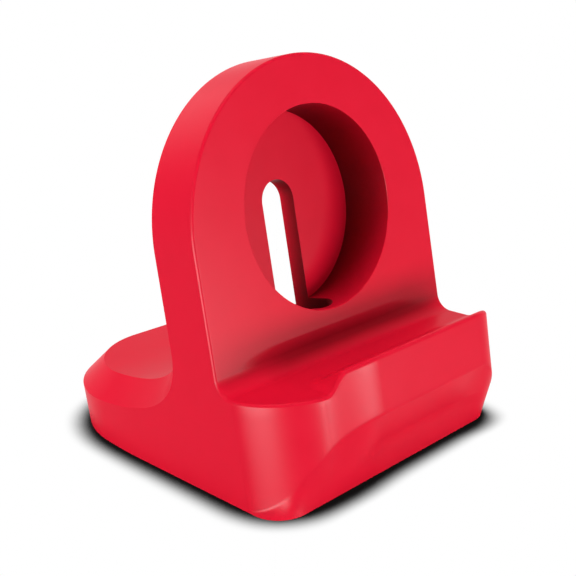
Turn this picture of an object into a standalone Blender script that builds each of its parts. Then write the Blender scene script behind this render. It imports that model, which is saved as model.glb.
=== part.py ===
"""Smartwatch charging dock: one moulded stand with a leaning round-topped column, a recess for a charging puck,
a cable slot, a front tray with a lip on its right side, and a scooped base behind.

The object faces -Y, with +Z up and X to the right seen from the front. Dimensions are in millimetres.
"""

import math

import bmesh
import bpy
import numpy as np

MM = 0.001

# Overall
WIDTH = 45.8
HALF = WIDTH / 2
LEAN = math.radians(10.945)

# Column: its front plane passes through the centre of the puck recess
RIM_Y = -9.5
RIM_Z = 33.288
SIDE_THICKNESS = 7.87
ARCH_DROP = 2.07
ARCH_STEPS = 60

# One 45 degree chamfer round the back of the column and the base
CHAMFER = 3.17

# Puck recess and cable slot, measured in the column's front plane
PUCK_RADIUS = 14.0
PUCK_DEPTH = 8.32
PUCK_STEPS = 96
SLOT_WIDTH = 6.12
SLOT_TOP = 4.15
NOTCH_BELOW = 3.6
NOTCH_FORWARD = 6.6

# Tray
TRAY_Z = 14.0
TRAY_FILLET = 2.5
EDGE_RADIUS = 0.42

# Lip: it rises on the right, along a ramp in X
LIP_START_Y = -18.0
LIP_EASE = 2.1
LIP_SLOPE = 0.65
LIP_RAMP = (-13.8, -10.6)
LIP_RADIUS = 0.9

# Front wall, in plan at the tray's height. It leans back as the column does
SIDE_END_Y = -15.35
LEFT_CORNER_X = -14.5
LEFT_CORNER_Y = -23.25
LEFT_CORNER_FALL = 1.0
LEFT_CORNER_WEIGHT = 0.5
STEP_END_X = -6.0
WALL_Y = -25.15
RIGHT_CORNER = 6.9

# Skirt below the front wall
SKIRT_TOP_Z = 9.9
SKIRT_LEFT_END_Z = 0.25
SKIRT_RIGHT_END_Z = 1.6
SKIRT_KINK_Z = 4.15
FOOT_Y = -23.69
LEFT_FOOT_RADIUS = 4.3
RIGHT_FOOT_RADIUS = 5.0

# Rear base
SCOOP_START_Z = 17.6
SCOOP_END_Y = 16.9
SCOOP_WEIGHT = 1.02
REAR_EDGE_Z = 5.95
REAR_Y = 25.94
REAR_CORNER = 14.8
REAR_DRAFT = 0.7
REAR_DRAFT_SPAN = (4.0, 17.5)

COLOUR = (0.75, 0.006, 0.03, 1.0)


def smooth(value, low, high):
    """Goes from 0 at low to 1 at high with level ends."""
    t = min(1.0, max(0.0, (value - low) / (high - low)))
    return t * t * (3 - 2 * t)


def conic(start, control, end, weight, t):
    """Point at t on the conic from start to end whose tangents meet at control."""
    parts = ((1 - t) ** 2, 2 * weight * t * (1 - t), t * t)
    total = sum(parts)
    points = (np.array(start), np.array(control), np.array(end))
    return sum(part * point for part, point in zip(parts, points)) / total


def on_column(x, up, depth):
    """Point from its place on the column's front plane and its depth behind that plane."""
    y = RIM_Y + up * math.sin(LEAN) + depth * math.cos(LEAN)
    z = RIM_Z + up * math.cos(LEAN) - depth * math.sin(LEAN)
    return np.array((x, y, z))


def up_at_height(z, depth):
    """Distance up the column's plane at which a point of this depth has height z."""
    return (z - RIM_Z + depth * math.sin(LEAN)) / math.cos(LEAN)


# Tray surface

def lip_rise(x, y):
    """Height of the tray's surface above its level floor."""
    d = max(0.0, LIP_START_Y - y)
    eased = LIP_SLOPE * d * d / (2 * LIP_EASE)
    if d > LIP_EASE:
        eased = LIP_SLOPE * (d - LIP_EASE / 2)
    return smooth(x, *LIP_RAMP) * eased


def lip_slope(x, y):
    """Slope of the tray's surface towards the front."""
    d = max(0.0, LIP_START_Y - y)
    return smooth(x, *LIP_RAMP) * LIP_SLOPE * min(1.0, d / LIP_EASE)


def fillet_profile(steps=8):
    """Points and outward normals of the arc between the column and the tray, in Y and Z."""
    opening = math.pi / 2 + LEAN
    corner_y = on_column(0.0, up_at_height(TRAY_Z, 0.0), 0.0)[1]
    centre_y = corner_y - TRAY_FILLET / math.tan(opening / 2)
    centre_z = TRAY_Z + TRAY_FILLET
    rows = []
    for i in range(steps + 1):
        angle = -LEAN - (math.pi / 2 - LEAN) * i / steps
        normal = (-math.cos(angle), -math.sin(angle))
        rows.append((centre_y - TRAY_FILLET * normal[0], centre_z - TRAY_FILLET * normal[1], normal))
    return rows


# Front wall in plan

def left_plan(corner_steps=14, step_steps=14):
    """Wall points from the left side round the corner and along the step, each farther forward than the last."""
    start = (-HALF, SIDE_END_Y)
    control = (-HALF, LEFT_CORNER_Y + LEFT_CORNER_FALL)
    end = (LEFT_CORNER_X, LEFT_CORNER_Y)
    points = [conic(start, control, end, LEFT_CORNER_WEIGHT, t) for t in np.linspace(0, 1, corner_steps + 1)]
    for i in range(1, step_steps + 1):
        share = i / step_steps
        x = LEFT_CORNER_X + (STEP_END_X - LEFT_CORNER_X) * share
        fall = 0.85 * smooth(share**0.8, 0, 1) + 0.15 * share
        points.append(np.array((x, LEFT_CORNER_Y + (WALL_Y - LEFT_CORNER_Y) * fall)))
    return points


def right_plan(left):
    """Wall points from the right side to the front, each as far forward as its partner on the left."""
    centre_y = WALL_Y + RIGHT_CORNER
    left_y = np.array([point[1] for point in left])
    y = centre_y + (WALL_Y - centre_y) * (left_y - left_y[0]) / (left_y[-1] - left_y[0])
    x = HALF - RIGHT_CORNER + np.sqrt(np.maximum(0.0, RIGHT_CORNER**2 - (y - centre_y) ** 2))
    return [np.array(pair) for pair in zip(x, y)]


def tray_shares():
    """Places across the tray from left to right, closer together where the lip rises."""
    return np.concatenate((np.linspace(0, 0.3, 20), np.linspace(0.3, 1, 9)[1:]))


def wall_plan():
    """The whole front wall in plan from left to right, its outward normals and how many points each end has."""
    left = left_plan()
    right = right_plan(left)
    start = left[-1]
    end = right[-1]
    straight = [start + (end - start) * share for share in tray_shares()[1:-1]]
    plan = left + straight + right[::-1]
    along = np.gradient(np.array(plan), axis=0)
    normals = np.stack((along[:, 1], -along[:, 0]), axis=1)
    normals /= np.linalg.norm(normals, axis=1)[:, None]
    normals[0] = (-1, 0)
    normals[-1] = (1, 0)
    return plan, normals, len(left)


def wall_lean(plan):
    """How far the wall goes back for each millimetre up. It fades round the right corner, to none at the side."""
    if plan[0] <= HALF - RIGHT_CORNER:
        return math.tan(LEAN)
    return math.tan(LEAN) * (WALL_Y + RIGHT_CORNER - plan[1]) / RIGHT_CORNER


def wall_point(plan, z):
    """Point of the leaning wall at height z above one plan point."""
    return np.array((plan[0], plan[1] + wall_lean(plan) * (z - TRAY_Z), z))


def top_edge(plan, normal):
    """Inner side, corner and outer side of the wall's rounded top above one plan point."""
    z = TRAY_Z
    for _ in range(12):
        rise = min(1.0, (z - TRAY_Z) / 3)
        radius = EDGE_RADIUS + (LIP_RADIUS - EDGE_RADIUS) * rise
        inner = wall_point(plan, z)[:2] - radius * normal
        slope = lip_slope(*inner) * max(0.0, -normal[1])
        z = TRAY_Z + lip_rise(*inner) + slope * radius
    corner = wall_point(plan, z)
    inner = corner[:2] - radius * normal
    down = radius * math.cos(LEAN) * np.array((0.0, wall_lean(plan), 1.0))
    return np.array((*inner, TRAY_Z + lip_rise(*inner))), corner, corner - down


# Skirt

def skirt_top(x):
    """Height of the crease between the wall and the skirt, which runs down round both corners."""
    left = min(1.0, max(0.0, (STEP_END_X + 1 - x) / (HALF + STEP_END_X + 1)))
    if left > 0:
        rise = (1 - left**2.2) * smooth(1 - left, -0.3, 0.35)
        return SKIRT_LEFT_END_Z + (SKIRT_TOP_Z - SKIRT_LEFT_END_Z) * rise
    right = min(1.0, max(0.0, (x - HALF + RIGHT_CORNER) / RIGHT_CORNER))
    return SKIRT_RIGHT_END_Z + (SKIRT_TOP_Z - SKIRT_RIGHT_END_Z) * (1 - right * right) ** 1.1


def path_lengths(points):
    """Distance along a path of plan points, from 0 at its start to 1 at its end, and its points as an array."""
    points = np.array(points)
    steps = np.linalg.norm(np.diff(points, axis=0), axis=1)
    lengths = np.concatenate(([0.0], np.cumsum(steps)))
    return lengths / lengths[-1], points


def foot_points(side, radius, wall):
    """Bottom outline from the side round the corner, one point below each of the wall's points."""
    centre = np.array((side * (HALF - radius), FOOT_Y + radius))
    angles = np.linspace(0, math.pi / 2, 25)
    path = [centre + radius * np.array((side * math.cos(angle), -math.sin(angle))) for angle in angles]
    path.append(np.array((wall[-1][0], FOOT_Y)))
    lengths, path = path_lengths(path)
    shares, _ = path_lengths(wall)
    return [np.array([np.interp(share, lengths, path[:, axis]) for axis in (0, 1)]) for share in shares]


def skirt_rows(plan, count):
    """Crease, kink and bottom point below each of the wall's points."""
    left = foot_points(-1, LEFT_FOOT_RADIUS, plan[:count])
    right = foot_points(1, RIGHT_FOOT_RADIUS, plan[-count:][::-1])
    middle = [np.array((point[0], FOOT_Y)) for point in plan[count:-count]]
    rows = []
    for point, foot in zip(plan, left + middle + right[::-1]):
        crease = wall_point(point, skirt_top(point[0]))
        bottom = np.array((*foot, 0.0))
        slanted = bottom + (crease - bottom) * SKIRT_KINK_Z / SKIRT_TOP_Z
        upright = np.array((*foot, slanted[2]))
        mix = smooth(point[0], -10.0, -3.0) * (1 - smooth(point[0], HALF - RIGHT_CORNER - 3, HALF - 3))
        rows.append((crease, slanted + (upright - slanted) * mix, bottom))
    return rows


# Rear

def scoop_profile(steps=22):
    """Side line of the column's back and the base's top, in Y and Z, from above the scoop to its level end."""
    start_up = up_at_height(SCOOP_START_Z, SIDE_THICKNESS)
    control_up = up_at_height(REAR_EDGE_Z, SIDE_THICKNESS)
    start = on_column(0.0, start_up, SIDE_THICKNESS)[1:]
    control = on_column(0.0, control_up, SIDE_THICKNESS)[1:]
    end = (SCOOP_END_Y, REAR_EDGE_Z)
    return [conic(start, control, end, SCOOP_WEIGHT, t) for t in np.linspace(0, 1, steps + 1)]


def offset_profile(profile):
    """The side line moved out by the chamfer along its normals."""
    points = np.array(profile)
    along = np.gradient(points, axis=0)
    along[0] = (-math.sin(LEAN), -math.cos(LEAN))
    along[-1] = (1.0, 0.0)
    normals = np.stack((-along[:, 1], along[:, 0]), axis=1)
    normals /= np.linalg.norm(normals, axis=1)[:, None]
    return points + CHAMFER * normals


def height_at(profile, y):
    """Height at which a profile passes Y, below its steep part."""
    low = np.array([point for point in profile if point[1] < SCOOP_START_Z - 3])
    return float(np.interp(y, low[:, 0], low[:, 1]))


def draft(y):
    """How far the bottom outline lies inside the base's upper edge."""
    return REAR_DRAFT * smooth(y, *REAR_DRAFT_SPAN)


def rear_stations(corner_steps=18):
    """Outer edge, inner edge and bottom points on the left, from the scoop's start to the rear's straight."""
    outer_profile = scoop_profile()
    inner_profile = offset_profile(outer_profile)
    corner_y = REAR_Y - REAR_CORNER
    stations = []
    for outer, inner in zip(outer_profile, inner_profile):
        if outer[0] < corner_y - 0.4:
            bottom = (-HALF + draft(outer[0]), outer[0], 0.0)
            stations.append(((-HALF, *outer), (-HALF + CHAMFER, *inner), bottom))
    centre = np.array((-HALF + REAR_CORNER, corner_y))
    for angle in np.linspace(0, math.pi / 2, corner_steps + 1):
        direction = np.array((-math.cos(angle), math.sin(angle)))
        outer = centre + REAR_CORNER * direction
        inner = centre + (REAR_CORNER - CHAMFER) * direction
        bottom = centre + (REAR_CORNER - draft(outer[1])) * direction
        outer_z = height_at(outer_profile, outer[1])
        inner_z = height_at(inner_profile, inner[1])
        stations.append(((*outer, outer_z), (*inner, inner_z), (*bottom, 0.0)))
    return [[np.array(point) for point in station] for station in stations]


def mirrored(points):
    return [point * (-1, 1, 1) for point in points]


# Rounded edge round the column and the tray

def edge_rows(inner, corner, outer, steps=4):
    """Points over the rounded edge, from its inner to its outer side."""
    return [conic(inner, corner, outer, math.sqrt(0.5), t) for t in np.linspace(0, 1, steps + 1)]


def arch_edge(angle):
    near = (HALF - EDGE_RADIUS) * np.array((math.cos(angle), math.sin(angle)))
    far = HALF * np.array((math.cos(angle), math.sin(angle)))
    inner = on_column(near[0], near[1] - ARCH_DROP, 0.0)
    corner = on_column(far[0], far[1] - ARCH_DROP, 0.0)
    outer = on_column(far[0], far[1] - ARCH_DROP, EDGE_RADIUS)
    return edge_rows(inner, corner, outer)


def arch_point(angle, inset, depth):
    radius = HALF - inset
    return on_column(radius * math.cos(angle), radius * math.sin(angle) - ARCH_DROP, depth)


def side_edge(y, z, normal, side):
    inner = (side * (HALF - EDGE_RADIUS), y, z)
    corner = (side * HALF, y, z)
    outer = (side * HALF, y - EDGE_RADIUS * normal[0], z - EDGE_RADIUS * normal[1])
    return edge_rows(inner, corner, outer)


class Shell:
    """Collects the points and faces of one closed mesh."""

    def __init__(self):
        self.points = []
        self.faces = []
        self.index = {}

    def add(self, point):
        key = tuple(round(float(value), 5) for value in point)
        if key not in self.index:
            self.index[key] = len(self.points)
            self.points.append([float(value) * MM for value in point])
        return self.index[key]

    def face(self, points):
        corners = list(dict.fromkeys(self.add(point) for point in points))
        if len(corners) > 2:
            self.faces.append(corners)

    def band(self, first, second, closed=False):
        """Quads between two rows of points."""
        for i in range(len(first) - (not closed)):
            j = (i + 1) % len(first)
            self.face((first[i], first[j], second[j], second[i]))


def add_tray(shell, left_rows, right_rows, front, fillet_count):
    """The tray's surface: rows across it, the last one along the front edge. Returns the first row."""
    rows = []
    for number, (left, right) in enumerate(zip(left_rows, right_rows)):
        row = [np.array(left)]
        for share in tray_shares()[1:-1]:
            x, y = left[:2] + (right[:2] - left[:2]) * share
            z = left[2] if number < fillet_count else TRAY_Z + lip_rise(x, y)
            row.append(np.array((x, y, z)))
        rows.append(row + [np.array(right)])
    rows[-1] = front
    for first, second in zip(rows, rows[1:]):
        shell.band(first, second)
    return rows[0]


def add_front(shell, arch_angles):
    """Column front, tray, rounded edge, front wall and skirt. Returns the outline of the left side and the feet."""
    profile = fillet_profile()
    left_side = [side_edge(y, z, normal, -1) for y, z, normal in profile]
    right_side = [side_edge(y, z, normal, 1) for y, z, normal in profile]
    arch = [arch_edge(angle) for angle in arch_angles]
    plan, normals, count = wall_plan()
    wall = [edge_rows(*top_edge(point, normal)) for point, normal in zip(plan, normals)]

    ring = arch + right_side + wall[::-1] + left_side[::-1]
    for row in range(len(ring[0]) - 1):
        shell.band([edge[row] for edge in ring], [edge[row + 1] for edge in ring], closed=True)

    left_rows = [edge[0] for edge in left_side + wall[:count]]
    right_rows = [edge[0] for edge in right_side + wall[-count:][::-1]]
    front = [edge[0] for edge in wall[count - 1 : len(wall) - count + 1]]
    first_row = add_tray(shell, left_rows, right_rows, front, len(profile))
    shell.face([edge[0] for edge in arch] + first_row[::-1])

    skirt = skirt_rows(plan, count)
    columns = [[edge[-1], *points] for edge, points in zip(wall, skirt)]
    for row in range(3):
        shell.band([column[row] for column in columns], [column[row + 1] for column in columns])
    sides = []
    for edge, side, column in ((arch[0], left_side, columns[0]), (arch[-1], right_side, columns[-1])):
        sides.append([edge[-1]] + [rows[-1] for rows in side] + column)
    return sides, [column[-1] for column in columns]


def add_rear(shell, arch_angles, sides, feet):
    """Column back, scoop, base, chamfer, sides and underside."""
    stations = rear_stations()
    outer, inner, bottom = ([station[k] for station in stations] for k in range(3))
    arch_outer = [arch_point(angle, 0.0, SIDE_THICKNESS) for angle in arch_angles]
    arch_inner = [arch_point(angle, CHAMFER, SIDE_THICKNESS + CHAMFER) for angle in arch_angles]
    shell.band([arch_point(angle, 0.0, EDGE_RADIUS) for angle in arch_angles], arch_outer)
    outer_ring = arch_outer + mirrored(outer) + outer[::-1]
    inner_ring = arch_inner + mirrored(inner) + inner[::-1]
    shell.band(outer_ring, inner_ring, closed=True)
    shell.face(arch_inner + [mirrored(inner)[0], inner[0]])
    for i in range(len(inner) - 1):
        shell.band(inner[i : i + 2], mirrored(inner)[i : i + 2])

    # Where the draft starts, the flat side ends and the drafted wall goes on round the rear
    flat = max(i for i, point in enumerate(outer) if point[1] <= REAR_DRAFT_SPAN[0])
    wall_outer = outer[flat:] + mirrored(outer)[flat:][::-1]
    wall_bottom = bottom[flat:] + mirrored(bottom)[flat:][::-1]
    shell.band(wall_outer, wall_bottom)
    back_edge = [bottom[flat]] + outer[: flat + 1][::-1]
    shell.face(sides[0] + back_edge + [arch_outer[0]])
    shell.face(sides[1] + mirrored(back_edge) + [arch_outer[-1]])
    shell.face(feet + wall_bottom[::-1])


def mesh_object(name, points, faces):
    mesh = bpy.data.meshes.new(name)
    mesh.from_pydata(points, [], faces)
    work = bmesh.new()
    work.from_mesh(mesh)
    bmesh.ops.recalc_face_normals(work, faces=work.faces)
    work.to_mesh(mesh)
    work.free()
    obj = bpy.data.objects.new(name, mesh)
    bpy.context.scene.collection.objects.link(obj)
    return obj


def prism(name, outline, place):
    """Closed prism whose outline points are placed at its two ends by place(point, end)."""
    count = len(outline)
    points = [place(point, end) * MM for end in (0, 1) for point in outline]
    faces = [tuple(range(count)), tuple(range(count, 2 * count))]
    for i in range(count):
        j = (i + 1) % count
        faces.append((i, j, count + j, count + i))
    return mesh_object(name, [tuple(point) for point in points], faces)


def round_outline(radius, start, end, steps, centre=(0.0, 0.0)):
    angles = np.linspace(start, end, steps + 1)
    return [(centre[0] + radius * math.cos(a), centre[1] + radius * math.sin(a)) for a in angles]


def recess_cutter():
    outline = round_outline(PUCK_RADIUS, 0, 2 * math.pi, PUCK_STEPS)[:-1]
    depths = (-2.0, PUCK_DEPTH)
    return prism("recess_cutter", outline, lambda point, end: on_column(*point, depths[end]))


def slot_cutter():
    """Slot through the web behind the recess, round at its top."""
    half = SLOT_WIDTH / 2
    outline = round_outline(half, 0, math.pi, 20, (0.0, SLOT_TOP - half))
    outline += [(-half, -PUCK_RADIUS - NOTCH_BELOW / 2), (half, -PUCK_RADIUS - NOTCH_BELOW / 2)]
    depths = (PUCK_DEPTH - 1.0, SIDE_THICKNESS + CHAMFER + 2.0)
    return prism("slot_cutter", outline, lambda point, end: on_column(*point, depths[end]))


def notch_cutter():
    """Notch in the recess's lower wall, round at its front end and open at the column's back."""
    half = SLOT_WIDTH / 2
    front = PUCK_DEPTH - NOTCH_FORWARD
    outline = round_outline(half, math.pi, 2 * math.pi, 20, (0.0, front + half))
    outline += [(half, SIDE_THICKNESS + CHAMFER + 4.0), (-half, SIDE_THICKNESS + CHAMFER + 4.0)]
    heights = (-PUCK_RADIUS - NOTCH_BELOW, -PUCK_RADIUS + 3.0)
    return prism("notch_cutter", outline, lambda point, end: on_column(point[0], heights[end], point[1]))


def cut(body, cutter):
    cutter.hide_render = True
    cutter.display_type = "WIRE"
    boolean = body.modifiers.new(cutter.name, "BOOLEAN")
    boolean.operation = "DIFFERENCE"
    boolean.solver = "EXACT"
    boolean.object = cutter


def silicone():
    material = bpy.data.materials.new("silicone")
    material.use_nodes = True
    shader = material.node_tree.nodes["Principled BSDF"]
    shader.inputs["Base Color"].default_value = COLOUR
    shader.inputs["Roughness"].default_value = 0.55
    return material


def main():
    for obj in list(bpy.data.objects):
        bpy.data.objects.remove(obj)
    shell = Shell()
    arch_angles = np.linspace(math.pi, 0, ARCH_STEPS + 1)
    sides, feet = add_front(shell, arch_angles)
    add_rear(shell, arch_angles, sides, feet)
    body = mesh_object("dock_body", shell.points, shell.faces)
    body.data.materials.append(silicone())
    body.data.shade_smooth()
    body.data.set_sharp_from_angle(angle=math.radians(25))
    for cutter in (recess_cutter(), slot_cutter(), notch_cutter()):
        cut(body, cutter)


main()
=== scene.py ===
"""Smartwatch charging dock: the finished look of the moulded silicone stand.

It stands on a white floor in soft light. Shapes are worked out in millimetres as whole arrays
and put into the mesh in metres.
"""

import math
import bmesh
import bpy
import numpy as np
from mathutils import Matrix, Vector


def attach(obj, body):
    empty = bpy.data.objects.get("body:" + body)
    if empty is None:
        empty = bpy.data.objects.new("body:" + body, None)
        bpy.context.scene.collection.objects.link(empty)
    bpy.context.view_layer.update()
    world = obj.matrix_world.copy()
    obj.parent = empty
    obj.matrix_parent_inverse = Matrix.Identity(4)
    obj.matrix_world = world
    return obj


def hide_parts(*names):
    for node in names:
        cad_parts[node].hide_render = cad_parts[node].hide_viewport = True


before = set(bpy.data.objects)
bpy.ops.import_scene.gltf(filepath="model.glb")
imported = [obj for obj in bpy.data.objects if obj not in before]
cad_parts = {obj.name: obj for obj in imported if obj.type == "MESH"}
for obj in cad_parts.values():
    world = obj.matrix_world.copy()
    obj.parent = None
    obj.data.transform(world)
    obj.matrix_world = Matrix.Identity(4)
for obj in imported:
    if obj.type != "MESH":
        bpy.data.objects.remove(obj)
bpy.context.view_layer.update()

MM = 0.001
QUARTER_CIRCLE = math.sqrt(0.5)  # weight at which a conic with a square corner is a quarter circle

# Column, recess and slot
HALF = 22.9
LEAN = math.radians(10.945)
RIM_Y, RIM_Z = -9.5, 33.288
SIDE_THICKNESS = 7.87
ARCH_DROP = 2.07
CHAMFER = 3.17
PUCK_RADIUS, PUCK_DEPTH = 14.0, 8.32
RIM_ROUND = 0.12
SLOT_HALF, SLOT_TOP = 3.06, 4.15
NOTCH_BELOW, NOTCH_FORWARD = 3.6, 6.6

# How far each cutter starts before the surface that it enters, and ends past the one it leaves
RECESS_LEAD = 2.0
SLOT_LEAD, SLOT_RUN_OUT = 1.0, 2.0
NOTCH_LEAD, NOTCH_RUN_OUT = 3.0, 4.0

# Tray and lip
TRAY_Z, TRAY_FILLET = 14.0, 2.5
EDGE_RADIUS, LIP_RADIUS, LIP_RADIUS_RISE = 0.42, 0.9, 3.0
LIP_START_Y, LIP_EASE, LIP_SLOPE = -18.0, 2.1, 0.65
LIP_RAMP = (-13.8, -10.6)

# Front wall
SIDE_END_Y = -15.35
LEFT_CORNER = (-14.5, -23.25)
LEFT_CORNER_FALL, LEFT_CORNER_WEIGHT = 1.0, 0.5
STEP_END_X, WALL_Y = -6.0, -25.15
STEP_BEND, STEP_CURVED, STEP_STRAIGHT = 0.8, 0.85, 0.15
RIGHT_CORNER = 6.9

# Skirt below the wall, with the crease above it and the softer kink in it
SKIRT_TOP_Z, SKIRT_LEFT_END_Z, SKIRT_RIGHT_END_Z, SKIRT_KINK_Z = 9.9, 0.25, 1.6, 4.15
SKIRT_START_PAST_STEP = 1.0
SKIRT_LEFT_POWER, SKIRT_LEFT_FADE, SKIRT_RIGHT_POWER = 2.2, (-0.3, 0.35), 1.1
KINK_LEFT_RAMP, KINK_RIGHT_INSET = (-10.0, -3.0), 3.0
CREASE_ROUND, KINK_ROUND = 0.3, 1.0
ROUND_WEIGHT, ROUND_LARGEST_SHARE = 0.9, 0.4
FOOT_Y, LEFT_FOOT_RADIUS, RIGHT_FOOT_RADIUS = -23.69, 4.3, 5.0

# Rear base
SCOOP_START_Z, SCOOP_END_Y, SCOOP_WEIGHT = 17.6, 16.9, 1.02
REAR_EDGE_Z, REAR_Y, REAR_CORNER = 5.95, 25.94, 14.8
REAR_DRAFT, REAR_DRAFT_SPAN = 0.7, (4.0, 17.5)
CORNER_GAP, SCOOP_TOP_LEFT_OUT = 0.15, 3.0

# Fineness of the mesh
ARCH_STEPS, EDGE_STEPS = 240, 10
WELD, SLIVER = 4e-7, 2e-7  # metres: closer points are welded, shorter edges are dissolved
NO_GAP = 1e-6  # millimetres: keeps the share of a gap finite where the gap is nothing
SHARP_ANGLE, LARGE_FACE_WEIGHT = math.radians(15), 80

WHITE = (1, 1, 1, 1)

# Silicone: colours, gloss, mottle and tooth, with the tooth's height in metres
DEEPER_RED, PALER_RED = (0.735, 0.0055, 0.028, 1), (0.775, 0.0065, 0.033, 1)
ROUGHNESS, IOR, SPECULAR_LEVEL = (0.32, 0.4), 1.42, 0.06
MOTTLE_SCALE, MOTTLE_DETAIL = 260.0, 4.0
TOOTH_SCALE, TOOTH_DETAIL = 5200.0, 2.0
TOOTH_STRENGTH, TOOTH_HEIGHT = 0.12, 0.00004

# Painted shade: reach in metres, open shares that are darkest and untouched, and darkest factor
WALL_PAINTED_SHADE = (0.05, (0.28, 0.56), 0.15)
FOOT_PAINTED_SHADE = (0.012, (0.54, 1.0), 0.25)
PAINTED_SHADE_SAMPLES = 16
# Where the painted shade starts and where it is full: by how far the normal lies along an axis,
# and for the foot also by the place on the stand in millimetres
ACROSS_RECESS, STEEP = (1.0, 0.0), (0.95, 0.5)
FOOT_PAINTED_SHADE_Z, FOOT_PAINTED_SHADE_Y = (22.5, 18.5), (-7.5, -10.5)

# Floor and its contact shadow, in metres
FLOOR_HALF, FLOOR_COLOUR = 3, (0.85, 0.85, 0.85, 1)
SHADOW_REACH, SHADOW_SAMPLES, TOWARDS_LIGHT = 0.0048, 32, (0.3, 0.33, 0.9)
SHADOW_DARK, SHADOW_CLEAR = (0.46, (0.006, 0.005, 0.005, 1)), (0.94, WHITE)

# Lamps, in metres and watts: each points at AIM_Z above the origin from LAMP_DISTANCE away
SURROUND_STRENGTH, BACKDROP_STRENGTH = 0.18, 1.0
LAMP_DISTANCE, AIM_Z = 0.45, 0.02
SOFTBOX = (0.26, 0.22)
LAMPS = (  # name, azimuth, elevation, width and height, power, what it gives
    ("low_front_softbox", 10, 4, (0.26, 0.09), 1.02, "both"),
    ("top_softbox", 0, 88, SOFTBOX, 0.9, "both"),
    ("left_softbox", -95, 12, SOFTBOX, 0.75, "colour"),
    ("rear_left_softbox", -112, 40, SOFTBOX, 0.36, "colour"),
    ("right_softbox", 100, 22, SOFTBOX, 0.4, "colour"),
    ("back_softbox", 180, 28, SOFTBOX, 0.3, "both"),
    ("left_strip", -67, -2.1, (0.34, 0.005), 11.0, "gloss"),
    ("front_strip", 22, -2.1, (0.12, 0.005), 3.2, "gloss"),
)

# Camera: sensor and lens in millimetres, shift in shares of the frame, place in metres
SENSOR_WIDTH, LENS = 36.0, 64.02
SHIFT_X, SHIFT_Y = -0.0776, -0.0688
NEAREST_SEEN = 0.01
CAMERA_AZIMUTH, CAMERA_ELEVATION = math.radians(-47.931), math.radians(15.459)
CAMERA_PLACE = (-0.099589, -0.101401, 0.064868)


def smooth(value, low, high):
    """Rises from 0 at low to 1 at high along 3t^2 - 2t^3, whose ends are level."""
    t = np.clip((value - low) / (high - low), 0.0, 1.0)
    return t * t * (3 - 2 * t)


def conic(start, control, end, weight, t):
    """Rational curve from start to end, whose tangents there meet at control.

    It is the sum of (1 - t)^2 start, 2 weight t (1 - t) control and t^2 end, divided by the sum of
    these three factors. The last axis but one of the result runs along t.
    """
    t = np.asarray(t)[:, None]
    parts = ((1 - t) ** 2, 2 * weight * t * (1 - t), t * t)
    points = [np.asarray(point, float)[..., None, :] for point in (start, control, end)]
    return sum(part * point for part, point in zip(parts, points)) / sum(parts)


def on_column(x, up, depth):
    """Points from their place on the leaning front plane and their depth behind it.

    It is a turn by LEAN about X, round the recess's centre.
    """
    x, up, depth = np.broadcast_arrays(np.asarray(x, float), up, depth)
    y = RIM_Y + up * math.sin(LEAN) + depth * math.cos(LEAN)
    z = RIM_Z + up * math.cos(LEAN) - depth * math.sin(LEAN)
    return np.stack((x, y, z), axis=-1)


def up_at_height(z, depth):
    """Place up the leaning plane at which a point of that depth has height z."""
    return (z - RIM_Z + depth * math.sin(LEAN)) / math.cos(LEAN)


def arch_line(angle, radius, depth):
    """Half circle of the arch at a depth, its centre ARCH_DROP below the recess's."""
    return on_column(radius * np.cos(angle), radius * np.sin(angle) - ARCH_DROP, depth)


def shares_along(path):
    """Distance along a path of plan points, as a share of its whole length."""
    steps = np.linalg.norm(np.diff(path, axis=0), axis=1)
    lengths = np.concatenate(([0.0], np.cumsum(steps)))
    return lengths / lengths[-1]


def lip_rise(x, y):
    """Height above the tray's floor: a parabola, then a straight slope, faded in along X."""
    d = np.maximum(0.0, LIP_START_Y - y)
    straight = LIP_SLOPE * (d - LIP_EASE / 2)
    eased = np.where(d > LIP_EASE, straight, LIP_SLOPE * d * d / (2 * LIP_EASE))
    return smooth(x, *LIP_RAMP) * eased


def lip_slope(x, y):
    """Rise of the lip for each millimetre to the front: the derivative of lip_rise along Y."""
    d = np.maximum(0.0, LIP_START_Y - y)
    return smooth(x, *LIP_RAMP) * LIP_SLOPE * np.minimum(1.0, d / LIP_EASE)


def tray_arc(steps=20):
    """Y, Z and normals of the arc that joins the column to the tray: a circle tangent to both."""
    reach = TRAY_FILLET / math.tan((math.pi / 2 + LEAN) / 2)
    centre_y = on_column(0.0, up_at_height(TRAY_Z, 0.0), 0.0)[1] - reach
    angle = -LEAN - (math.pi / 2 - LEAN) * np.linspace(0, 1, steps + 1)
    normal = np.stack((-np.cos(angle), -np.sin(angle)), axis=1)
    centre = np.array((centre_y, TRAY_Z + TRAY_FILLET))
    return centre - TRAY_FILLET * normal, normal


def tray_shares(risen=0.3, fine_steps=63, coarse_steps=36):
    """Places across the tray from left to right, closer together up to where the lip has risen."""
    fine = np.linspace(0, risen, fine_steps + 1)
    coarse = np.linspace(risen, 1, coarse_steps + 1)
    return np.concatenate((fine, coarse[1:]))


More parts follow.
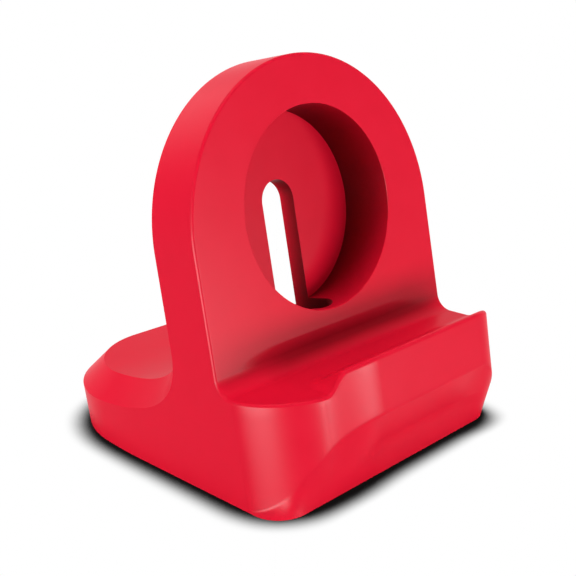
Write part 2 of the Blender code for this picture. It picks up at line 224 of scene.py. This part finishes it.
def wall_plan(corner_steps=56, step_steps=48):
    """Front wall in plan: a conic round the left corner, a step, a straight and a quarter circle.

    The step is S-shaped: most of its way forward follows smooth, the rest a straight line. The
    right corner's points are spread along Y in proportion to those on the left of the straight,
    so that each row of the tray has two ends.
    """
    start, control = (-HALF, SIDE_END_Y), (-HALF, LEFT_CORNER[1] + LEFT_CORNER_FALL)
    along_corner = np.linspace(0, 1, corner_steps + 1)
    corner = conic(start, control, LEFT_CORNER, LEFT_CORNER_WEIGHT, along_corner)
    share = np.linspace(0, 1, step_steps + 1)[1:]
    fall = STEP_CURVED * smooth(share**STEP_BEND, 0, 1) + STEP_STRAIGHT * share
    step_x = LEFT_CORNER[0] + (STEP_END_X - LEFT_CORNER[0]) * share
    step_y = LEFT_CORNER[1] + (WALL_Y - LEFT_CORNER[1]) * fall
    left = np.concatenate((corner, np.stack((step_x, step_y), axis=1)))
    centre_y = WALL_Y + RIGHT_CORNER
    y = centre_y + (WALL_Y - centre_y) * (left[:, 1] - left[0, 1]) / (left[-1, 1] - left[0, 1])
    x = HALF - RIGHT_CORNER + np.sqrt(np.maximum(0.0, RIGHT_CORNER**2 - (y - centre_y) ** 2))
    right = np.stack((x, y), axis=1)
    straight = left[-1] + (right[-1] - left[-1]) * tray_shares()[1:-1, None]
    plan = np.concatenate((left, straight, right[::-1]))
    along = np.gradient(plan, axis=0)
    normal = np.stack((along[:, 1], -along[:, 0]), axis=1)
    normal /= np.linalg.norm(normal, axis=1)[:, None]
    normal[0], normal[-1] = (-1, 0), (1, 0)
    return plan, normal, len(left)


def wall_lean(plan):
    """The wall's way back for each millimetre up.

    It is the tangent of the lean, and fades round the right corner to none.
    """
    fade = (WALL_Y + RIGHT_CORNER - plan[:, 1]) / RIGHT_CORNER
    return math.tan(LEAN) * np.where(plan[:, 0] > HALF - RIGHT_CORNER, fade, 1.0)


def wall_at(plan, z):
    """Wall points at height z: the plan, moved back by its lean times the height above the tray."""
    y = plan[:, 1] + wall_lean(plan) * (z - TRAY_Z)
    return np.stack((plan[:, 0], y, z + 0 * plan[:, 0]), axis=1)


def wall_top(plan, normal, rounds=14):
    """Rounded top of the wall: a quarter-round conic from the tray's surface over to the wall.

    Its radius grows with the lip's height, which depends on the radius in turn, so a few rounds
    of working out each from the other settle them.
    """
    z = np.full(len(plan), TRAY_Z)
    for _ in range(rounds):
        grown = np.minimum(1.0, (z - TRAY_Z) / LIP_RADIUS_RISE)
        radius = EDGE_RADIUS + (LIP_RADIUS - EDGE_RADIUS) * grown
        inner = wall_at(plan, z)[:, :2] - radius[:, None] * normal
        slope = lip_slope(inner[:, 0], inner[:, 1]) * np.maximum(0.0, -normal[:, 1])
        z = TRAY_Z + lip_rise(inner[:, 0], inner[:, 1]) + slope * radius
    corner = wall_at(plan, z)
    inner = corner[:, :2] - radius[:, None] * normal
    surface = TRAY_Z + lip_rise(inner[:, 0], inner[:, 1])
    inner = np.concatenate((inner, surface[:, None]), axis=1)
    down = np.stack((np.zeros(len(plan)), wall_lean(plan), np.ones(len(plan))), axis=1)
    outer = corner - radius[:, None] * math.cos(LEAN) * down
    return conic(inner, corner, outer, QUARTER_CIRCLE, np.linspace(0, 1, EDGE_STEPS + 1))


def skirt_top(x):
    """Height of the crease between wall and skirt, which falls round both corners.

    On the left it falls with a power of the share of the way round, times a smooth fade, and on
    the right with a power of 1 less the square of that share.
    """
    start_x = STEP_END_X + SKIRT_START_PAST_STEP
    left = np.clip((start_x - x) / (HALF + start_x), 0.0, 1.0)
    left_rise = (1 - left**SKIRT_LEFT_POWER) * smooth(1 - left, *SKIRT_LEFT_FADE)
    left_z = SKIRT_LEFT_END_Z + (SKIRT_TOP_Z - SKIRT_LEFT_END_Z) * left_rise
    right = np.clip((x - HALF + RIGHT_CORNER) / RIGHT_CORNER, 0.0, 1.0)
    right_rise = (1 - right * right) ** SKIRT_RIGHT_POWER
    right_z = SKIRT_RIGHT_END_Z + (SKIRT_TOP_Z - SKIRT_RIGHT_END_Z) * right_rise
    return np.where(left > 0, left_z, right_z)


def foot_points(side, radius, wall, steps=72):
    """Bottom outline round one front corner: a quarter circle and a straight.

    Its points are shared out along it as the wall's points are along the wall.
    """
    angle = np.linspace(0, math.pi / 2, steps + 1)
    centre = np.array((side * (HALF - radius), FOOT_Y + radius))
    arc = centre + radius * np.stack((side * np.cos(angle), -np.sin(angle)), axis=1)
    path = np.concatenate((arc, [(wall[-1, 0], FOOT_Y)]))
    lengths, shares = shares_along(path), shares_along(wall)
    return np.stack([np.interp(shares, lengths, path[:, axis]) for axis in (0, 1)], axis=1)


def towards(start, end, distance):
    """Points that distance from start on the way to end, but at most a set share of the way."""
    gap = np.linalg.norm(end - start, axis=1)
    share = np.minimum(distance / np.maximum(gap, NO_GAP), ROUND_LARGEST_SHARE)
    return start + (end - start) * share[:, None]


def wall_columns(plan, top, count, wall_steps=8, round_steps=6):
    """Front wall below its rounded top: straight to the crease, a small round, then the skirt.

    The skirt runs straight from crease to foot at the corners. Between them it stands upright up
    to its kink. Crease and kink are each rounded by a conic.
    """
    left = foot_points(-1, LEFT_FOOT_RADIUS, plan[:count])
    right = foot_points(1, RIGHT_FOOT_RADIUS, plan[-count:][::-1])
    middle = np.stack((plan[count:-count, 0], np.full(len(plan) - 2 * count, FOOT_Y)), axis=1)
    foot = np.concatenate((left, middle, right[::-1]))
    bottom = np.concatenate((foot, np.zeros((len(foot), 1))), axis=1)
    crease = wall_at(plan, skirt_top(plan[:, 0]))
    slanted = bottom + (crease - bottom) * SKIRT_KINK_Z / SKIRT_TOP_Z
    upright = np.concatenate((foot, slanted[:, 2:]), axis=1)
    right_ramp = (HALF - RIGHT_CORNER - KINK_RIGHT_INSET, HALF - KINK_RIGHT_INSET)
    mix = smooth(plan[:, 0], *KINK_LEFT_RAMP) * (1 - smooth(plan[:, 0], *right_ramp))
    kink = slanted + (upright - slanted) * mix[:, None]

    def rounded(before, corner, after, distance):
        """Conic over a corner, from that distance before it to the same distance after it."""
        start, end = towards(corner, before, distance), towards(corner, after, distance)
        return conic(start, corner, end, ROUND_WEIGHT, np.linspace(0, 1, round_steps + 1))

    upper = rounded(top, crease, kink, CREASE_ROUND)
    lower = rounded(crease, kink, bottom, KINK_ROUND)
    down = np.linspace(0, 1, wall_steps + 1)[None, :-1, None]
    wall = top[:, None] + (upper[:, :1] - top[:, None]) * down
    return np.concatenate((wall, upper, lower, bottom[:, None]), axis=1)


def scoop_profile(steps=72):
    """Outer and inner side lines of the column's back and the base's top.

    The outer line is a conic from the leaning back to the level base. The inner line lies CHAMFER
    from it along its normal.
    """
    start = on_column(0.0, up_at_height(SCOOP_START_Z, SIDE_THICKNESS), SIDE_THICKNESS)[1:]
    control = on_column(0.0, up_at_height(REAR_EDGE_Z, SIDE_THICKNESS), SIDE_THICKNESS)[1:]
    end = (SCOOP_END_Y, REAR_EDGE_Z)
    profile = conic(start, control, end, SCOOP_WEIGHT, np.linspace(0, 1, steps + 1))
    along = np.gradient(profile, axis=0)
    along[0], along[-1] = (-math.sin(LEAN), -math.cos(LEAN)), (1.0, 0.0)
    normal = np.stack((-along[:, 1], along[:, 0]), axis=1)
    normal /= np.linalg.norm(normal, axis=1)[:, None]
    return profile, profile + CHAMFER * normal


def rear_stations(corner_steps=64):
    """Outer edge, inner edge and bottom of the rear on the left.

    Both edges follow the scoop's profile, then a quarter turn in plan at the profile's height
    there. The bottom lies at height 0 and is drawn in by a draft that fades in along Y.
    """
    outer_line, inner_line = scoop_profile()
    corner_y = REAR_Y - REAR_CORNER
    flat = outer_line[:, 0] < corner_y - CORNER_GAP
    line, edge = outer_line[flat], inner_line[flat]
    side = np.full(len(line), -HALF)
    draft = REAR_DRAFT * smooth(line[:, 0], *REAR_DRAFT_SPAN)
    outer = np.stack((side, line[:, 0], line[:, 1]), axis=1)
    inner = np.stack((side + CHAMFER, edge[:, 0], edge[:, 1]), axis=1)
    bottom = np.stack((side + draft, line[:, 0], 0 * draft), axis=1)
    angle = np.linspace(0, math.pi / 2, corner_steps + 1)
    turn = np.stack((-np.cos(angle), np.sin(angle)), axis=1)
    centre = np.array((-HALF + REAR_CORNER, corner_y))
    rounds = []
    for radius, path in ((REAR_CORNER, outer_line), (REAR_CORNER - CHAMFER, inner_line)):
        # Y has to rise along the path here, and the scoop's first steps still run forward
        path = path[path[:, 1] < SCOOP_START_Z - SCOOP_TOP_LEFT_OUT]
        plan = centre + radius * turn
        height = np.interp(plan[:, 1], path[:, 0], path[:, 1])
        rounds.append(np.column_stack((plan, height)))
    draft = REAR_DRAFT * smooth(rounds[0][:, 1], *REAR_DRAFT_SPAN)
    foot = centre + (REAR_CORNER - draft)[:, None] * turn
    rounds.append(np.column_stack((foot, 0 * draft)))
    return [np.concatenate(pair) for pair in zip((outer, inner, bottom), rounds)]


def mirrored(points):
    """The same points on the other side of the middle plane: X times -1."""
    return points * (-1, 1, 1)


def placed(name, data):
    """New object with this mesh, lamp or camera, linked to the scene."""
    obj = bpy.data.objects.new(name, data)
    bpy.context.scene.collection.objects.link(obj)
    return obj


class Skin:
    """Collects point grids and flat outlines, then welds them into one closed mesh."""

    def __init__(self):
        self.points, self.faces, self.count = [], [], 0

    def outline(self, points):
        """One flat face through the points."""
        self.points.append(np.asarray(points))
        self.faces.append(list(range(self.count, self.count + len(points))))
        self.count += len(points)

    def grid(self, points, closed=False):
        """Quads between neighbours of an array of rows, columns and coordinates.

        Closed joins the last row to the first.
        """
        rows, columns = points.shape[:2]
        index = self.count + np.arange(rows * columns).reshape(rows, columns)
        if closed:
            index = np.concatenate((index, index[:1]))
        corners = (index[:-1, :-1], index[1:, :-1], index[1:, 1:], index[:-1, 1:])
        self.points.append(points.reshape(-1, 3))
        self.faces += np.stack(corners, axis=-1).reshape(-1, 4).tolist()
        self.count += rows * columns

    def build(self, name):
        """Object from all the faces, welded along their shared edges and pointing outwards."""
        mesh = bpy.data.meshes.new(name)
        mesh.from_pydata(np.concatenate(self.points) * MM, [], self.faces)
        work = bmesh.new()
        work.from_mesh(mesh)
        bmesh.ops.remove_doubles(work, verts=work.verts, dist=WELD)
        bmesh.ops.dissolve_degenerate(work, edges=work.edges, dist=SLIVER)
        bmesh.ops.recalc_face_normals(work, faces=work.faces)
        work.to_mesh(mesh)
        work.free()
        return placed(name, mesh)


def front_skin(skin, angle):
    """Column front, tray, the rounded edge all round them, front wall and skirt.

    Returns the side outlines, the feet and the arch's line behind its rounded edge.
    """
    t = np.linspace(0, 1, EDGE_STEPS + 1)
    inner, corner = arch_line(angle, HALF - EDGE_RADIUS, 0.0), arch_line(angle, HALF, 0.0)
    arch = conic(inner, corner, arch_line(angle, HALF, EDGE_RADIUS), QUARTER_CIRCLE, t)

    line, normal = tray_arc()
    sunk = line - EDGE_RADIUS * normal
    sides = []
    for side in (-1, 1):
        x = np.full(len(line), side * HALF)
        corner = np.column_stack((x, line))
        inner = corner - (side * EDGE_RADIUS, 0, 0)
        sides.append(conic(inner, corner, np.column_stack((x, sunk)), QUARTER_CIRCLE, t))
    left_side, right_side = sides

    plan, plan_normal, count = wall_plan()
    wall = wall_top(plan, plan_normal)
    ring = np.concatenate((arch, right_side, wall[::-1], left_side[::-1]))
    skin.grid(ring, closed=True)

    left = np.concatenate((left_side[:, 0], wall[:count, 0]))
    right = np.concatenate((right_side[:, 0], wall[-count:][::-1][:, 0]))
    tray = left[:, None] + (right - left)[:, None] * tray_shares()[None, :, None]
    surface = TRAY_Z + lip_rise(tray[len(line) :, :, 0], tray[len(line) :, :, 1])
    tray[len(line) :, 1:-1, 2] = surface[:, 1:-1]
    tray[-1] = wall[count - 1 : len(wall) - count + 1, 0]
    skin.grid(tray)
    skin.outline(np.concatenate((arch[:, 0], tray[0][::-1])))

    columns = wall_columns(plan, wall[:, -1], count)
    skin.grid(columns)
    left_outline = np.concatenate((arch[:1, -1], left_side[:, -1], columns[0]))
    right_outline = np.concatenate((arch[-1:, -1], right_side[:, -1], columns[-1]))
    return (left_outline, right_outline), columns[:, -1], arch[:, -1]


def rear_skin(skin, angle, sides, feet, arch_front):
    """Column back, scoop, base, the chamfer round them, flat sides and underside."""
    outer, inner, bottom = rear_stations()
    arch_outer = arch_line(angle, HALF, SIDE_THICKNESS)
    arch_inner = arch_line(angle, HALF - CHAMFER, SIDE_THICKNESS + CHAMFER)
    skin.grid(np.stack((arch_front, arch_outer), axis=1))
    outer_ring = np.concatenate((arch_outer, mirrored(outer), outer[::-1]))
    inner_ring = np.concatenate((arch_inner, mirrored(inner), inner[::-1]))
    skin.grid(np.stack((outer_ring, inner_ring), axis=1), closed=True)
    skin.outline(np.concatenate((arch_inner, mirrored(inner)[:1], inner[:1])))
    skin.grid(np.stack((inner, mirrored(inner)), axis=1))
    flat = np.flatnonzero(outer[:, 1] <= REAR_DRAFT_SPAN[0])[-1]
    rim = np.concatenate((outer[flat:], mirrored(outer)[flat:][::-1]))
    foot = np.concatenate((bottom[flat:], mirrored(bottom)[flat:][::-1]))
    skin.grid(np.stack((rim, foot), axis=1))
    back = np.concatenate((bottom[flat : flat + 1], outer[: flat + 1][::-1]))
    skin.outline(np.concatenate((sides[0], back, arch_outer[:1])))
    skin.outline(np.concatenate((sides[1], mirrored(back), arch_outer[-1:])))
    skin.outline(np.concatenate((feet, foot[::-1])))


def solid_between(name, rings):
    """Closed cutter from rings of points, one ring per row, with both ends capped."""
    skin = Skin()
    skin.grid(np.swapaxes(np.asarray(rings), 0, 1), closed=True)
    skin.outline(rings[0])
    skin.outline(rings[-1])
    return skin.build(name)


def recess_cutter(steps=256, rim_steps=4):
    """Cylinder along the recess's axis, widened at its rim by a quarter circle, which rounds it."""
    angle = np.linspace(0, 2 * math.pi, steps + 1)[:-1]
    bend = np.linspace(0, math.pi / 2, rim_steps + 1)
    rim = PUCK_RADIUS + RIM_ROUND * (1 - np.sin(bend))
    radii = [PUCK_RADIUS + RIM_ROUND, *rim, PUCK_RADIUS]
    depths = [-RECESS_LEAD, *(RIM_ROUND * (1 - np.cos(bend))), PUCK_DEPTH]
    rings = [on_column(r * np.cos(angle), r * np.sin(angle), w) for r, w in zip(radii, depths)]
    return solid_between("recess_cutter", rings)


def slot_cutter(steps=48):
    """Slot through the web: straight sides and a half-circle top, swept along the recess's axis."""
    angle = np.linspace(0, math.pi, steps + 1)
    x = np.concatenate((SLOT_HALF * np.cos(angle), [-SLOT_HALF, SLOT_HALF]))
    low = -PUCK_RADIUS - NOTCH_BELOW / 2
    up = np.concatenate((SLOT_TOP - SLOT_HALF + SLOT_HALF * np.sin(angle), [low, low]))
    ends = (PUCK_DEPTH - SLOT_LEAD, SIDE_THICKNESS + CHAMFER + SLOT_RUN_OUT)
    return solid_between("slot_cutter", [on_column(x, up, w) for w in ends])


def notch_cutter(steps=48):
    """Notch in the recess's lower wall: a half-circle front end and straight sides, swept up."""
    angle = np.linspace(math.pi, 2 * math.pi, steps + 1)
    front = PUCK_DEPTH - NOTCH_FORWARD
    back = SIDE_THICKNESS + CHAMFER + NOTCH_RUN_OUT
    x = np.concatenate((SLOT_HALF * np.cos(angle), [SLOT_HALF, -SLOT_HALF]))
    depth = np.concatenate((front + SLOT_HALF + SLOT_HALF * np.sin(angle), [back, back]))
    ends = (-PUCK_RADIUS - NOTCH_BELOW, -PUCK_RADIUS + NOTCH_LEAD)
    return solid_between("notch_cutter", [on_column(x, up, depth) for up in ends])


def moulded_stand():
    """The whole stand as one mesh, with the recess, slot and notch cut and its normals settled."""
    skin = Skin()
    angle = np.linspace(math.pi, 0, ARCH_STEPS + 1)
    sides, feet, arch_front = front_skin(skin, angle)
    rear_skin(skin, angle, sides, feet, arch_front)
    stand = skin.build("moulded_stand")
    cutters = [recess_cutter(), slot_cutter(), notch_cutter()]
    for cutter in cutters:
        cut = stand.modifiers.new(cutter.name, "BOOLEAN")
        cut.operation, cut.solver, cut.object = "DIFFERENCE", "EXACT", cutter
    graph = bpy.context.evaluated_depsgraph_get()
    mesh = bpy.data.meshes.new_from_object(stand.evaluated_get(graph))
    stand.modifiers.clear()
    stand.data = mesh
    for cutter in cutters:
        bpy.data.objects.remove(cutter)
    mesh.shade_smooth()
    mesh.set_sharp_from_angle(angle=SHARP_ANGLE)
    weigh = stand.modifiers.new("face_weighted_normals", "WEIGHTED_NORMAL")
    weigh.mode, weigh.weight, weigh.keep_sharp = "FACE_AREA", LARGE_FACE_WEIGHT, True
    return stand


def new_material(name):
    """Material with its nodes and links."""
    material = bpy.data.materials.new(name)
    material.use_nodes = True
    return material, material.node_tree.nodes, material.node_tree.links


def worked_out(nodes, links, operation, *values):
    """Result of one Math node on the values."""
    step = nodes.new("ShaderNodeMath")
    step.operation = operation
    for value, socket in zip(values, step.inputs):
        links.new(value, socket)
    return step.outputs["Value"]


def aligned(nodes, links, place, direction):
    """How far a face points along a direction, either way: its normal's dot product, unsigned."""
    dot = nodes.new("ShaderNodeVectorMath")
    dot.operation = "DOT_PRODUCT"
    dot.inputs[1].default_value = direction
    links.new(place.outputs["Normal"], dot.inputs[0])
    return worked_out(nodes, links, "ABSOLUTE", dot.outputs["Value"])


def limited(nodes, links, value, none_at, full_at):
    """0 where the value is none_at, 1 where it is full_at, straight between and level beyond."""
    span = nodes.new("ShaderNodeMapRange")
    span.inputs["From Min"].default_value = none_at
    span.inputs["From Max"].default_value = full_at
    links.new(value, span.inputs["Value"])
    return span.outputs["Result"]


def toned(nodes, links, value, low, high, easing="LINEAR"):
    """Colour that runs from low to high, each a value and the colour there."""
    tone = nodes.new("ShaderNodeValToRGB")
    tone.color_ramp.interpolation = easing
    for element, (position, colour) in zip(tone.color_ramp.elements, (low, high)):
        element.position = position
        element.color = colour
    links.new(value, tone.inputs["Fac"])
    return tone.outputs["Color"]


def painted_shade(nodes, links, colour, where, reach, openness, darkest):
    """Painted shade: the colour, darker where the stand itself closes off the open air within
    reach.

    It is multiplied by a ramp over the share that is left open, as far as where is 1.
    """
    shelter = nodes.new("ShaderNodeAmbientOcclusion")
    shelter.inputs["Distance"].default_value = reach
    shelter.only_local = True
    shelter.samples = PAINTED_SHADE_SAMPLES
    dark = (openness[0], (darkest, darkest, darkest, 1))
    tone = toned(nodes, links, shelter.outputs["AO"], dark, (openness[1], WHITE))
    darker = nodes.new("ShaderNodeMix")
    darker.data_type, darker.blend_type = "RGBA", "MULTIPLY"
    links.new(where, darker.inputs["Factor"])
    links.new(colour, darker.inputs["A"])
    links.new(tone, darker.inputs["B"])
    return darker.outputs["Result"]


def noise(nodes, links, place, scale, detail):
    """Noise on Object coordinates, from 0 to 1."""
    grain = nodes.new("ShaderNodeTexNoise")
    grain.inputs["Scale"].default_value = scale
    grain.inputs["Detail"].default_value = detail
    links.new(place.outputs["Object"], grain.inputs["Vector"])
    return grain.outputs["Fac"]


def silicone():
    """Deep red matte silicone, with a faint mottle in its colour and roughness and a fine tooth.

    Painted shade darkens two sheltered places in the colour: the walls of the recess, slot and
    notch, whose normals lie across the recess's axis, and the steep foot of the column above the
    tray.
    """
    material, nodes, links = new_material("red_silicone_with_painted_shade")
    shader = nodes["Principled BSDF"]
    shader.inputs["IOR"].default_value = IOR
    shader.inputs["Specular IOR Level"].default_value = SPECULAR_LEVEL
    place = nodes.new("ShaderNodeTexCoord")

    mottle = noise(nodes, links, place, MOTTLE_SCALE, MOTTLE_DETAIL)
    colour = nodes.new("ShaderNodeMix")
    colour.data_type = "RGBA"
    colour.inputs["A"].default_value = DEEPER_RED
    colour.inputs["B"].default_value = PALER_RED
    links.new(mottle, colour.inputs["Factor"])

    # Masks for the painted shade: the recess, slot and notch walls lie across the recess's axis,
    # and the column's foot is steep, low and at the front
    recess_axis = (0.0, -math.cos(LEAN), math.sin(LEAN))
    across = limited(nodes, links, aligned(nodes, links, place, recess_axis), *ACROSS_RECESS)
    foot_shade_mask = limited(nodes, links, aligned(nodes, links, place, (0.0, 0.0, 1.0)), *STEEP)
    where = nodes.new("ShaderNodeSeparateXYZ")
    links.new(place.outputs["Object"], where.inputs["Vector"])
    for axis, (none_at, full_at) in (("Z", FOOT_PAINTED_SHADE_Z), ("Y", FOOT_PAINTED_SHADE_Y)):
        inside = limited(nodes, links, where.outputs[axis], none_at * MM, full_at * MM)
        foot_shade_mask = worked_out(nodes, links, "MULTIPLY", foot_shade_mask, inside)
    # Painted shade: ambient occlusion darkens the colour on the recess, slot and notch walls and at
    # the column's foot
    base = painted_shade(nodes, links, colour.outputs["Result"], across, *WALL_PAINTED_SHADE)
    base = painted_shade(nodes, links, base, foot_shade_mask, *FOOT_PAINTED_SHADE)
    links.new(base, shader.inputs["Base Color"])

    rough = nodes.new("ShaderNodeMapRange")
    rough.inputs["To Min"].default_value, rough.inputs["To Max"].default_value = ROUGHNESS
    links.new(mottle, rough.inputs["Value"])
    links.new(rough.outputs["Result"], shader.inputs["Roughness"])

    bump = nodes.new("ShaderNodeBump")
    bump.inputs["Strength"].default_value = TOOTH_STRENGTH
    bump.inputs["Distance"].default_value = TOOTH_HEIGHT
    tooth = noise(nodes, links, place, TOOTH_SCALE, TOOTH_DETAIL)
    links.new(tooth, bump.inputs["Height"])
    links.new(bump.outputs["Normal"], shader.inputs["Normal"])
    return material


def background_rays(nodes, links):
    """1 for camera, glossy and transmission rays, which see the white background, 0 for others."""
    path = nodes.new("ShaderNodeLightPath")
    total = path.outputs["Is Camera Ray"]
    for name in ("Is Glossy Ray", "Is Transmission Ray"):
        total = worked_out(nodes, links, "MAXIMUM", total, path.outputs[name])
    return total


def white_floor():
    """Level floor, whose white darkens where the stand closes off the open air close to it.

    The openness is taken round a normal leaned to the back right, so the shade is widest at the
    front left. Diffuse light meets a plain pale floor without this shade.
    """
    mesh = bpy.data.meshes.new("floor")
    far = FLOOR_HALF
    corners = [(-far, -far, 0), (far, -far, 0), (far, far, 0), (-far, far, 0)]
    mesh.from_pydata(corners, [], [(0, 1, 2, 3)])
    floor = placed("floor", mesh)
    material, nodes, links = new_material("white_floor")
    diffuse = nodes["Principled BSDF"]
    diffuse.inputs["Base Color"].default_value = FLOOR_COLOUR
    diffuse.inputs["Roughness"].default_value = 1.0
    diffuse.inputs["Specular IOR Level"].default_value = 0.0
    near = nodes.new("ShaderNodeAmbientOcclusion")
    near.inputs["Distance"].default_value = SHADOW_REACH
    near.samples = SHADOW_SAMPLES
    leaned = nodes.new("ShaderNodeCombineXYZ")
    for axis, share in zip("XYZ", TOWARDS_LIGHT):
        leaned.inputs[axis].default_value = share
    links.new(leaned.outputs["Vector"], near.inputs["Normal"])
    tone = toned(nodes, links, near.outputs["AO"], SHADOW_DARK, SHADOW_CLEAR, "EASE")
    glow = nodes.new("ShaderNodeEmission")
    links.new(tone, glow.inputs["Color"])
    mix = nodes.new("ShaderNodeMixShader")
    links.new(background_rays(nodes, links), mix.inputs["Fac"])
    links.new(diffuse.outputs["BSDF"], mix.inputs[1])
    links.new(glow.outputs["Emission"], mix.inputs[2])
    links.new(mix.outputs["Shader"], nodes["Material Output"].inputs["Surface"])
    mesh.materials.append(material)


def studio():
    """White background, a dim white surround for diffuse light, and the lamps.

    Some softboxes only light the colour, without a reflection, and the strips near the floor only
    give gloss. Each lamp stands on a sphere, at its azimuth from the front and its elevation.
    """
    world = bpy.data.worlds.new("studio")
    bpy.context.scene.world = world
    world.use_nodes = True
    nodes, links = world.node_tree.nodes, world.node_tree.links
    surround, backdrop = nodes["Background"], nodes.new("ShaderNodeBackground")
    for light, strength in ((surround, SURROUND_STRENGTH), (backdrop, BACKDROP_STRENGTH)):
        light.inputs["Color"].default_value = WHITE
        light.inputs["Strength"].default_value = strength
    mix = nodes.new("ShaderNodeMixShader")
    links.new(background_rays(nodes, links), mix.inputs["Fac"])
    links.new(surround.outputs["Background"], mix.inputs[1])
    links.new(backdrop.outputs["Background"], mix.inputs[2])
    links.new(mix.outputs["Shader"], nodes["World Output"].inputs["Surface"])

    for name, azimuth, elevation, size, power, gives in LAMPS:
        data = bpy.data.lights.new(name, "AREA")
        data.shape = "RECTANGLE"
        data.size, data.size_y = size
        data.energy = power
        lamp = placed(name, data)
        lamp.visible_camera = False
        lamp.visible_diffuse = gives != "gloss"
        lamp.visible_glossy = gives != "colour"
        az, el = math.radians(azimuth), math.radians(elevation)
        level = math.cos(el)
        away = Vector((math.sin(az) * level, -math.cos(az) * level, math.sin(el)))
        lamp.location = LAMP_DISTANCE * away + Vector((0, 0, AIM_Z))
        lamp.rotation_euler = away.to_track_quat("Z", "Y").to_euler()


def photo_camera():
    """Camera at the photograph's place: low at the front left, with a small shift for its framing.

    Its axes are right, above and back, worked out from its azimuth and elevation.
    """
    data = bpy.data.cameras.new("photo_camera")
    data.sensor_width = SENSOR_WIDTH
    data.lens = LENS
    data.shift_x, data.shift_y = SHIFT_X, SHIFT_Y
    data.clip_start = NEAREST_SEEN
    camera = placed("photo_camera", data)
    turn, rise = CAMERA_AZIMUTH, CAMERA_ELEVATION
    right = np.array((math.cos(turn), math.sin(turn), 0.0))
    level_ahead = np.array((-math.sin(turn), math.cos(turn), 0.0))
    ahead = math.cos(rise) * level_ahead - (0.0, 0.0, math.sin(rise))
    above = np.cross(right, ahead)
    axes = Matrix(np.stack((right, above, -ahead), axis=1).tolist()).to_4x4()
    axes.translation = CAMERA_PLACE
    camera.matrix_world = axes
    bpy.context.scene.camera = camera


stand = moulded_stand()
stand.data.materials.append(silicone())
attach(stand, "root")
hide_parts("dock_body")
white_floor()
studio()
photo_camera()
bpy.context.scene.view_settings.view_transform = "Standard"
